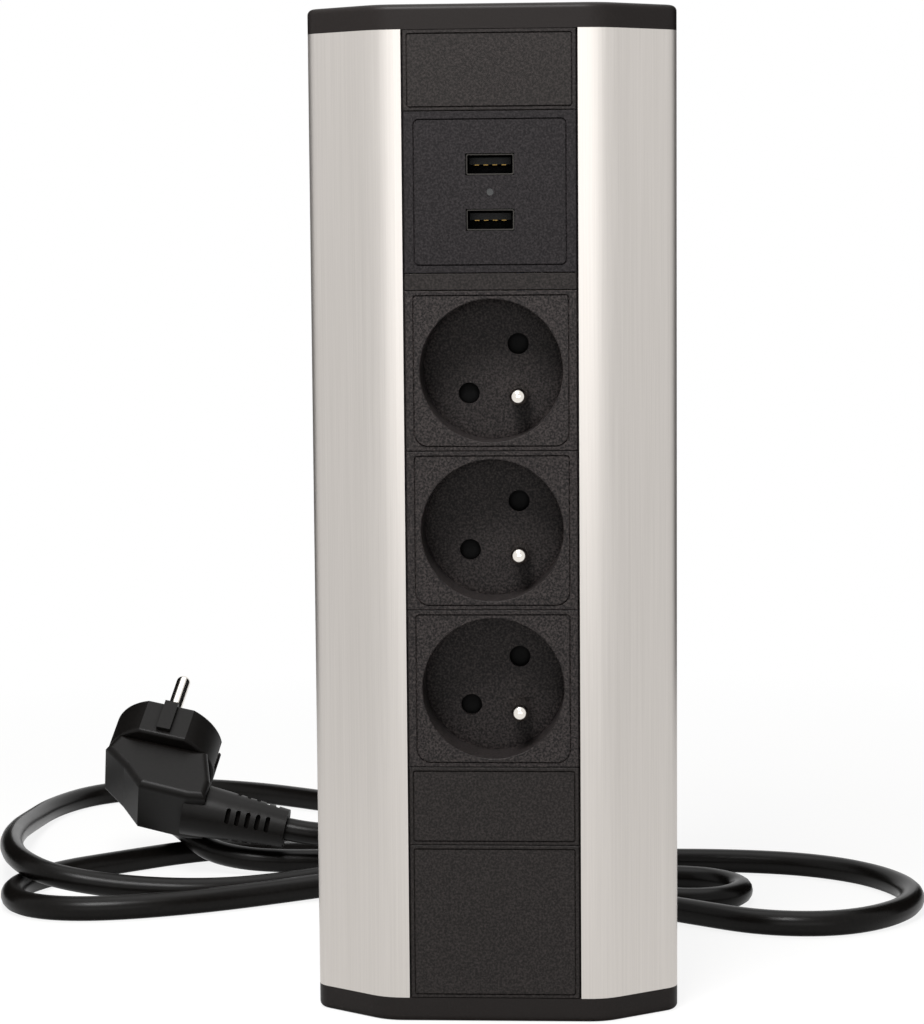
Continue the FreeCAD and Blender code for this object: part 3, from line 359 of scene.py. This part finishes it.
class Finish(Enum):
    """Every finish on the object."""

    # Aluminium, extruded, brushed and anodised: warm silver with upright silky lines
    SECTION = AnodisedAluminium()
    # Polypropylene caps from a smooth tool: satin, hardly any grain
    CAPS = MouldedPlastic("polypropylene_black_satin", "#181514", "#1E1B1A", Gloss.SATIN,
                          grain_mm=0.5, depth_mm=0.01, specular=0.1)
    # ABS from a spark-eroded tool: dry, finely speckled
    MODULES = MouldedPlastic("abs_black_spark_texture", "#100E0E", "#373231", Gloss.TEXTURED,
                             grain_mm=0.6, depth_mm=0.12, specular=0.14, ramp=SPECKLE)
    # Another tool for the plain blanks and the spacer: dry, and more even than the sockets
    BLANKS = MouldedPlastic("abs_black_coarse_texture", "#161413", "#2C2827", Gloss.TEXTURED,
                            grain_mm=0.6, depth_mm=0.06, specular=0.12, ramp=SPECKLE)
    # The charger's own tool: a little bluer, and more even than the sockets
    CHARGER = MouldedPlastic("abs_black_fine_texture", "#121011", "#282526", Gloss.TEXTURED,
                             grain_mm=0.6, depth_mm=0.06, specular=0.11, ramp=SPECKLE)
    # Glass-filled nylon inside: dull and even
    INSULATOR = MouldedPlastic("nylon_black_glass_filled", "#0E0E0E", "#181818", Gloss.TEXTURED,
                               grain_mm=0.6, depth_mm=0.03, specular=0.2)
    # Acetal slides behind the pin holes: black, and made darker and less reflecting than the other black
    # mouldings as painted shade, so that the holes read as holes
    SHUTTERS = MouldedPlastic("acetal_black_moulded", "#050505", "#080808", Gloss.TEXTURED,
                              grain_mm=0.6, depth_mm=0.02, specular=0.1)
    # Unpigmented nylon: milky, slightly warm white
    WHITE_NYLON = MouldedPlastic("nylon_natural_moulded", "#D8D6CC", "#E6E4DC", Gloss.SATIN,
                                 grain_mm=0.8, depth_mm=0.02)
    # Pigmented nylon: flat mid grey
    GREY_NYLON = MouldedPlastic("nylon_grey_moulded", "#6E6E6E", "#808080", Gloss.SATIN,
                                grain_mm=0.8, depth_mm=0.02)
    # Flexible PVC: soft highlights along its curves
    JACKET = MouldedPlastic("pvc_black_extruded", "#070605", "#0E0C0B", Gloss.SEMI_GLOSS,
                            grain_mm=1.2, depth_mm=0.015, specular=0.12)
    # PVC from a matt tool: as dark as the lead, with wider and weaker highlights
    PLUG = MouldedPlastic("pvc_black_moulded", "#090807", "#100E0D", Gloss.SATIN,
                          grain_mm=0.9, depth_mm=0.03, specular=0.13)
    # PVC skins of the single wires: smooth and strongly coloured
    BROWN_CORE = MouldedPlastic("pvc_brown_extruded", "#4A2A17", "#5A3620", Gloss.SATIN,
                                grain_mm=1.0, depth_mm=0.01)
    BLUE_CORE = MouldedPlastic("pvc_blue_extruded", "#1F4E9C", "#2B60B5", Gloss.SATIN,
                               grain_mm=1.0, depth_mm=0.01)
    EARTH_CORE = MouldedPlastic("pvc_green_yellow_extruded", "#3F8F2E", "#D8C82A", Gloss.SATIN,
                                grain_mm=3.0, depth_mm=0.01)
    # Glass epoxy under a green mask: glossy, with a slightly uneven green
    BOARD = MouldedPlastic("glass_epoxy_green_mask", "#0E4A2A", "#15603A", Gloss.GLOSSY,
                           grain_mm=2.5, depth_mm=0.02)
    # Epoxy bodies of the parts on the board: dark grey, half matt
    PARTS = MouldedPlastic("epoxy_black_moulded", "#151515", "#222222", Gloss.SATIN,
                           grain_mm=0.8, depth_mm=0.02)
    # Polycarbonate coloured nearly black, with a small clear shine
    GUIDE = ClearPlastic()
    # Bright nickel on turned brass: pale and almost mirror-like
    NICKEL = BrightMetal("nickel_plated_brass_turned", "#E4DFD8", roughness=0.14, mark_mm=0.7)
    # Tin on stamped steel sheet, coloured dark as painted shade inside the ports, with soft glints on its
    # folds
    TIN = BrightMetal("tinned_steel_stamped", "#3A3836", roughness=0.34, mark_mm=0.6)
    # Gold flash on stamped bronze: a dull yellow, darkened as painted shade inside the ports
    GOLD = BrightMetal("gold_flashed_bronze_stamped", "#7E6638", roughness=0.3, mark_mm=0.4)
    # Drawn brass: plain yellow, slightly soft
    BRASS = BrightMetal("brass_drawn", "#CDA35A", roughness=0.3, mark_mm=0.8)
    # Zinc on rolled steel: cool grey, faintly clouded
    ZINC = BrightMetal("zinc_plated_steel_rolled", "#BFC0C0", roughness=0.32, mark_mm=0.6)
    # Drawn spring wire: neutral grey with a narrow line of light
    SPRING = BrightMetal("spring_steel_drawn", "#A9A9A8", roughness=0.28, mark_mm=0.3)


class Paintbox:
    """Makes each finish once and puts it on nodes and new pieces."""

    def __init__(self, nodes: dict[str, bpy.types.Object]) -> None:
        """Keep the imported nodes.

        Args:
            nodes: Node objects by name.
        """
        self.nodes = nodes
        self.made: dict[Finish, bpy.types.Material] = {}

    def get(self, finish: Finish) -> bpy.types.Material:
        """Give a finish's material, made the first time it is asked for.

        Args:
            finish: Finish to give.

        Returns:
            The finish's one material.
        """
        if finish not in self.made:
            self.made[finish] = finish.value.material()
        return self.made[finish]

    def dress(self, finish: Finish, *names: str) -> None:
        """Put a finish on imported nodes.

        Args:
            finish: Finish that they take.
            names: Names of the nodes.
        """
        for name in names:
            node = self.nodes[name]
            for slot in node.material_slots:
                slot.material = self.get(finish)
            LOG.info("%s: %s", name, finish.value.name)


@dataclass
class Section:
    """Aluminium section with its end caps and screws."""

    profile: str = "housing_profile"
    caps: tuple[str, ...] = ("top_cap", "bottom_cap")
    screws: str = "cap_screws"

    def dress(self, paint: Paintbox) -> None:
        """Finish the section, its caps and their screws.

        Args:
            paint: Finishes.
        """
        paint.dress(Finish.SECTION, self.profile)
        paint.dress(Finish.CAPS, *self.caps)
        paint.dress(Finish.ZINC, self.screws)


@dataclass
class Blanks:
    """Plain modules and the narrow spacer."""

    names: tuple[str, ...] = ("blank_top", "blank_half_bottom", "blank_full_bottom", "spacer_strip")

    def dress(self, paint: Paintbox) -> None:
        """Finish the blanks."""
        paint.dress(Finish.BLANKS, *self.names)


@dataclass
class Charger:
    """Charger module with its two ports."""

    ports: tuple[str, ...] = ("upper", "lower")

    def dress(self, paint: Paintbox) -> None:
        """Finish the charger's face, ports and insides.

        Args:
            paint: Finishes.
        """
        paint.dress(Finish.CHARGER, "usb_cover")
        paint.dress(Finish.INSULATOR, "usb_housing", *(f"usb_tongue_{port}" for port in self.ports))
        paint.dress(Finish.TIN, *(f"usb_shell_{port}" for port in self.ports))
        paint.dress(Finish.GOLD, "usb_contacts")
        paint.dress(Finish.GUIDE, "usb_light_pipe")
        paint.dress(Finish.BOARD, "usb_board")
        paint.dress(Finish.PARTS, "usb_parts")


@dataclass
class Socket:
    """One earthed socket with its shutter and its return spring."""

    index: int
    centre_z_mm: float
    spring_depth_mm: float = -8.0
    spring_start_mm: float = 3.8
    spring_length_mm: float = 12.4
    spring_radius_mm: float = 1.3
    wire_mm: float = 0.4
    turns: int = 10
    travel_mm: float = 6.0
    steps_per_turn: int = 16
    wire_sides: int = 6

    def along(self, distance_mm: float) -> Vector:
        """Give a point on the spring's axis, which rises to the left at 45 degrees."""
        rise = distance_mm / math.sqrt(2)
        return Vector((-rise, self.spring_depth_mm, self.centre_z_mm + rise)) * MM

    def spring_axis(self) -> Vector:
        """Give the direction of the spring's axis, with a length of one."""
        return (self.along(1) - self.along(0)).normalized()

    def wire_rings(self) -> list[list[Vector]]:
        """Follow the spring's wire from its lower end to its upper end.

        Returns:
            The outline of the wire's round section at each step, as points.
        """
        axis = self.spring_axis()
        side = Vector((0, 1, 0))
        other = axis.cross(side)
        half_wire = self.wire_mm / 2 * MM
        mean = (self.spring_radius_mm - self.wire_mm / 2) * MM
        start = self.along(self.spring_start_mm + self.wire_mm / 2)
        length = (self.spring_length_mm - self.wire_mm) * MM
        count = self.turns * self.steps_per_turn
        around = [2 * math.pi * k / self.wire_sides for k in range(self.wire_sides)]
        rings = []
        for step in range(count + 1):
            angle = 2 * math.pi * step / self.steps_per_turn
            out = side * math.cos(angle) + other * math.sin(angle)
            middle = start + axis * (length * step / count) + out * mean
            rings.append([middle + (out * math.cos(turn) + axis * math.sin(turn)) * half_wire
                          for turn in around])
        return rings

    def make_spring(self) -> bpy.types.Object:
        """Wind the return spring.

        Returns:
            The coil as a mesh object.
        """
        mesh = bmesh.new()
        rings = [[mesh.verts.new(point) for point in ring] for ring in self.wire_rings()]
        for first, second in zip(rings, rings[1:]):
            for k in range(self.wire_sides):
                after = (k + 1) % self.wire_sides
                mesh.faces.new((first[k], first[after], second[after], second[k]))
        mesh.faces.new(rings[0][::-1])
        mesh.faces.new(rings[-1])
        bmesh.ops.recalc_face_normals(mesh, faces=mesh.faces)
        data = bpy.data.meshes.new(f"shutter_coil_{self.index}")
        mesh.to_mesh(data)
        mesh.free()
        for face in data.polygons:
            face.use_smooth = True
        return put_in_scene(data.name, data)

    def build(self, paint: Paintbox) -> None:
        """Finish the socket and wind its spring.

        Args:
            paint: Finishes.
        """
        k = self.index
        paint.dress(Finish.MODULES, f"socket_cover_{k}")
        paint.dress(Finish.INSULATOR, f"socket_base_{k}")
        paint.dress(Finish.SHUTTERS, f"shutter_{k}")
        paint.dress(Finish.NICKEL, f"earth_pin_{k}")
        paint.dress(Finish.BRASS, f"contacts_{k}")
        paint.dress(Finish.SPRING, f"shutter_spring_{k}")
        coil = self.make_spring()
        coil.data.materials.append(paint.get(Finish.SPRING))
        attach(coil, "strip")
        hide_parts(f"shutter_spring_{k}")
        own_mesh(coil)
        LOG.info("socket %d: spring of %d turns", k, self.turns)


@dataclass
class SocketRow:
    """Three sockets, one under the other."""

    count: int = 3
    top_z_mm: float = 178.2
    pitch_mm: float = 43.0

    def build(self, paint: Paintbox) -> None:
        """Build the sockets from the top down.

        Args:
            paint: Finishes.
        """
        for place in range(self.count):
            Socket(place + 1, self.top_z_mm - place * self.pitch_mm).build(paint)


@dataclass
class Wiring:
    """Clamp, terminals and wires inside the foot."""

    cores: dict[str, Finish] = field(default_factory=lambda: {
        "live": Finish.BROWN_CORE, "neutral": Finish.BLUE_CORE, "earth": Finish.EARTH_CORE})

    def dress(self, paint: Paintbox) -> None:
        """Finish the wires and what holds them.

        Args:
            paint: Finishes.
        """
        for name, finish in self.cores.items():
            paint.dress(finish, f"wire_{name}", f"core_{name}")
        paint.dress(Finish.WHITE_NYLON, "terminal_block")
        paint.dress(Finish.GREY_NYLON, "cord_clamp")
        paint.dress(Finish.ZINC, "terminal_screws", "clamp_screws")


@dataclass
class Plug:
    """Angled plug at the far end of the lead."""

    body: str = "plug_body"
    metal: tuple[str, ...] = ("plug_pins", "plug_earth_clips")

    def dress(self, paint: Paintbox) -> None:
        """Finish the plug."""
        paint.dress(Finish.PLUG, self.body)
        paint.dress(Finish.NICKEL, *self.metal)


# Heights of the lead's middle: on the floor, over another strand, and where it leaves the back
FLOOR_LAY = 3.9
OVER_LAY = 12.3
INLET_Z = 20.0
LEAD_ROUTE_MM: tuple[Point, ...] = (
    (0, 53.5, INLET_Z), (0, 66.8, INLET_Z), (0, 79.5, 16), (-1, 90.5, 8.5), (-4, 103.5, FLOOR_LAY),
    (-9, 122.5, FLOOR_LAY), (-16, 145.5, FLOOR_LAY), (-31, 165.5, FLOOR_LAY), (-54, 176.5, FLOOR_LAY),
    (-84, 180, FLOOR_LAY), (-112, 171, FLOOR_LAY), (-137, 150.5, FLOOR_LAY), (-154, 135.5, FLOOR_LAY),
    (-164, 114.5, FLOOR_LAY), (-160, 94.5, FLOOR_LAY), (-146, 85, FLOOR_LAY), (-126, 85.5, FLOOR_LAY),
    (-98, 96.5, FLOOR_LAY), (-72, 112.5, FLOOR_LAY), (-47, 122.5, 5.5), (-24, 124.5, OVER_LAY),
    (0, 121, OVER_LAY), (18, 112.5, FLOOR_LAY), (36, 99.5, FLOOR_LAY), (56, 85.5, FLOOR_LAY),
    (78, 71, FLOOR_LAY), (103, 71, FLOOR_LAY), (122, 87.5, FLOOR_LAY), (129, 111.5, FLOOR_LAY),
    (119, 136.5, FLOOR_LAY), (99, 152.5, FLOOR_LAY), (72, 158.5, FLOOR_LAY), (40, 158.5, FLOOR_LAY),
    (4, 167.5, FLOOR_LAY), (-30, 181.5, FLOOR_LAY), (-60, 190.5, FLOOR_LAY), (-82, 199, 5), (-101, 202, 8),
    (-116, 194, 11), (-121.5, 178.5, OVER_LAY), (-116, 165.5, 12.8), (-106, 155, 7.5), (-93, 150.5, 5.5),
    (-79, 152.5, 4.3), (-63.5, 155.5, FLOOR_LAY), (-48, 156.5, 4.4), (-32, 156, OVER_LAY),
    (-12, 155, OVER_LAY), (6, 150.5, 6.5), (26, 141.5, FLOOR_LAY), (48, 133.5, FLOOR_LAY),
    (64, 131, FLOOR_LAY), (75, 117.5, FLOOR_LAY), (68, 103, FLOOR_LAY), (53, 100, FLOOR_LAY),
    (37, 108.5, FLOOR_LAY), (19, 123.5, 6.5), (0, 134.5, OVER_LAY), (-24, 139, OVER_LAY), (-48, 134.5, 6),
    (-72, 122.5, FLOOR_LAY), (-97, 110.5, FLOOR_LAY), (-124, 106.5, 5.5), (-148, 104.5, 9.5),
    (-162, 115.5, OVER_LAY), (-170.5, 139.5, OVER_LAY), (-176.5, 177.5, 9), (-179, 213.5, 5),
    (-177, 244.5, FLOOR_LAY), (-165, 269.5, FLOOR_LAY), (-140, 281.5, FLOOR_LAY), (-108, 275.5, FLOOR_LAY),
    (-75, 256, FLOOR_LAY), (-58.5, 243, FLOOR_LAY), (-42, 228.5, FLOOR_LAY), (-33, 216, 5),
    (-28.5, 202, 9.5), (-28.5, 187, 13), (-33, 172.5, 14.5), (-42, 160.5, 15), (-54.5, 151.5, 14.6),
    (-67.34, 147.15, 14.22), (-78.10, 147.35, 16.50),
)


@dataclass
class Lead:
    """Free lead from the strain relief at the foot to the plug's."""

    diameter_mm: float = 7.8
    length_m: float = 1.833
    route: tuple[Point, ...] = LEAD_ROUTE_MM
    tail: tuple[str, ...] = ("cord_inlet", "cord_tail")
    round_steps: int = 6
    steps_per_point: int = 8
    spline_order: int = 3

    def make_lead(self) -> bpy.types.Object:
        """Lay the lead as one smooth curve.

        Returns:
            The lead as a curve object.
        """
        curve = bpy.data.curves.new("lead", "CURVE")
        curve.dimensions = "3D"
        curve.bevel_depth = self.diameter_mm / 2 * MM
        curve.bevel_resolution = self.round_steps
        curve.resolution_u = self.steps_per_point
        spline = curve.splines.new("NURBS")
        spline.points.add(len(self.route) - 1)
        for point, place in zip(spline.points, self.route):
            point.co = (place[0] * MM, place[1] * MM, place[2] * MM, 1.0)
        spline.order_u = self.spline_order
        spline.use_endpoint_u = True
        return put_in_scene("lead", curve)

    def build(self, paint: Paintbox, nodes: dict[str, bpy.types.Object]) -> None:
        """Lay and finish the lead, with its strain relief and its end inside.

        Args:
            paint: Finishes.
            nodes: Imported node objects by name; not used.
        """
        paint.dress(Finish.JACKET, *self.tail)
        lead = self.make_lead()
        lead.data.materials.append(paint.get(Finish.JACKET))
        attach(lead, "strip")
        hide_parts("power_cord")
        LOG.info("lead: %d points", len(self.route))


@dataclass
class PhotoCamera:
    """Camera that stands where the photograph was taken."""

    place_mm: Point = (34.655, -776.109, 213.194)
    turn_deg: Point = (84.45561, 0.46253, 3.21973)
    lens_mm: float = 98.585
    sensor_mm: float = 36.0
    clip_end_m: float = 30.0

    def build(self) -> None:
        """Place the camera and make it the scene's."""
        data = bpy.data.cameras.new("photo_camera")
        data.lens = self.lens_mm
        data.sensor_width = self.sensor_mm
        data.clip_end = self.clip_end_m
        camera = put_in_scene("photo_camera", data)
        camera.location = Vector(self.place_mm) * MM
        camera.rotation_euler = Euler([math.radians(angle) for angle in self.turn_deg], "XYZ")
        bpy.context.scene.camera = camera


@dataclass(frozen=True)
class Lamp:
    """One soft box."""

    name: str
    place: Point
    target: Point
    size: tuple[float, float]
    watts: float
    colour: str = "#FFFFFF"

    def build(self) -> None:
        """Hang the soft box and turn it to its target."""
        data = bpy.data.lights.new(self.name, "AREA")
        data.shape = "RECTANGLE"
        data.size, data.size_y = self.size
        data.energy = self.watts
        data.color = linear(self.colour)[:3]
        lamp = put_in_scene(self.name, data)
        lamp.location = self.place
        way = Vector(self.target) - Vector(self.place)
        lamp.rotation_euler = way.to_track_quat("-Z", "Y").to_euler()


@dataclass
class Studio:
    """Plain white floor, white surroundings, soft boxes and two black flags."""

    floor_size_m: float = 12.0
    floor_colour: str = "#F2F1EF"
    white: str = "#FFFFFF"
    shadow_share: float = 0.14
    shadow_from_m: float = 0.3
    shadow_to_m: float = 0.6
    surround_light: float = 0.25
    flag_colour: str = "#1A1A1A"
    flag_near_m: PlanPoint = (0.58, 0.155)
    flag_far_m: PlanPoint = (0.254, 0.544)
    flag_height_m: float = 0.7
    lamps: tuple[Lamp, ...] = (
        Lamp("front", place=(0.1, -1.6, 0.3), target=(0.0, 0.0, 0.12), size=(1.4, 0.6), watts=3.7),
        Lamp("key", place=(-0.1, -0.36, 0.64), target=(0.0, 0.0, 0.25), size=(0.25, 0.25), watts=6.4),
        Lamp("top", place=(0.0, 0.3, 1.4), target=(0.0, 0.1, 0.0), size=(1.0, 1.0), watts=6.0),
    )

    def seen_ray(self, tree: bpy.types.NodeTree) -> bpy.types.NodeSocket:
        """Tell the rays that show a surface from those that only carry light.

        Args:
            tree: Node tree that the nodes go into.

        Returns:
            A socket with one for camera, glossy and transmission rays, and nought for all others.
        """
        path = add_node(tree, "ShaderNodeLightPath")
        first = add_node(tree, "ShaderNodeMath", {"operation": "MAXIMUM"},
                         {0: path.outputs["Is Camera Ray"], 1: path.outputs["Is Glossy Ray"]})
        both = add_node(tree, "ShaderNodeMath", {"operation": "MAXIMUM"},
                        {0: first.outputs["Value"], 1: path.outputs["Is Transmission Ray"]})
        return both.outputs["Value"]

    def floor_material(self) -> bpy.types.Material:
        """Make the floor's paper, which is seen white but for a faint shadow.

        Returns:
            The finished material.
        """
        material = new_material("studio_paper_white")
        tree = material.node_tree
        matt = add_node(tree, "ShaderNodeBsdfDiffuse", {"Color": linear(self.floor_colour)})
        glow = add_node(tree, "ShaderNodeEmission", {"Color": linear(self.white), "Strength": 1.0})
        # Shadow only near the object, so that no horizon shows
        place = add_node(tree, "ShaderNodeTexCoord")
        away = add_node(tree, "ShaderNodeVectorMath", {"operation": "LENGTH"}, {0: place.outputs["Object"]})
        white = add_node(tree, "ShaderNodeMapRange",
                         {"From Min": self.shadow_from_m, "From Max": self.shadow_to_m,
                          "To Min": 1 - self.shadow_share, "To Max": 1.0},
                         {"Value": away.outputs["Value"]})
        share = add_node(tree, "ShaderNodeMath", {"operation": "MULTIPLY"},
                         {0: self.seen_ray(tree), 1: white.outputs["Result"]})
        mixed = add_node(tree, "ShaderNodeMixShader", links={
            "Fac": share.outputs["Value"], 1: matt.outputs["BSDF"], 2: glow.outputs["Emission"]})
        add_node(tree, "ShaderNodeOutputMaterial", links={"Surface": mixed.outputs["Shader"]})
        return material

    def build_floor(self) -> None:
        """Lay the pale floor."""
        half = self.floor_size_m / 2
        corners = [(-half, -half, 0), (half, -half, 0), (half, half, 0), (-half, half, 0)]
        floor = add_sheet("studio_floor", corners, self.floor_material())

    def build_flags(self) -> None:
        """Stand a black flag behind each side, seen only in reflections, as a dark line along edges."""
        material = new_material("studio_cloth_black")
        matt = add_node(material.node_tree, "ShaderNodeBsdfDiffuse", {"Color": linear(self.flag_colour)})
        add_node(material.node_tree, "ShaderNodeOutputMaterial", links={"Surface": matt.outputs["BSDF"]})
        for name, side in (("flag_left", -1), ("flag_right", 1)):
            near = (side * self.flag_near_m[0], self.flag_near_m[1])
            far = (side * self.flag_far_m[0], self.flag_far_m[1])
            corners = [(*near, 0), (*far, 0), (*far, self.flag_height_m), (*near, self.flag_height_m)]
            flag = add_sheet(name, corners, material)
            flag.visible_camera = False
            flag.visible_diffuse = False
            flag.visible_shadow = False

    def build_surround(self) -> None:
        """Make the surroundings white where they are seen, and dimmer as a light."""
        world = bpy.data.worlds.new("studio_surround")
        world.use_nodes = True
        tree = world.node_tree
        tree.nodes.clear()
        level = add_node(tree, "ShaderNodeMapRange", {"To Min": self.surround_light, "To Max": 1.0},
                         {"Value": self.seen_ray(tree)})
        back = add_node(tree, "ShaderNodeBackground", {"Color": linear(self.white)},
                        {"Strength": level.outputs["Result"]})
        add_node(tree, "ShaderNodeOutputWorld", links={"Surface": back.outputs["Background"]})
        bpy.context.scene.world = world

    def build(self) -> None:
        """Set up the floor, the surroundings, the flags and the lamps."""
        bpy.context.scene.view_settings.view_transform = "Standard"
        self.build_floor()
        self.build_flags()
        self.build_surround()
        for lamp in self.lamps:
            lamp.build()


def main() -> None:
    """Build and finish every piece in order."""
    logging.basicConfig(level=logging.INFO, format="%(message)s")
    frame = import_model()
    nodes = frame["nodes"]
    paint = Paintbox(nodes)
    PhotoCamera().build()
    Lead().build(paint, nodes)
    Studio().build()
    Section().dress(paint)
    Blanks().dress(paint)
    Charger().dress(paint)
    SocketRow().build(paint)
    Wiring().dress(paint)
    Plug().dress(paint)


if __name__ == "__main__":
    main()
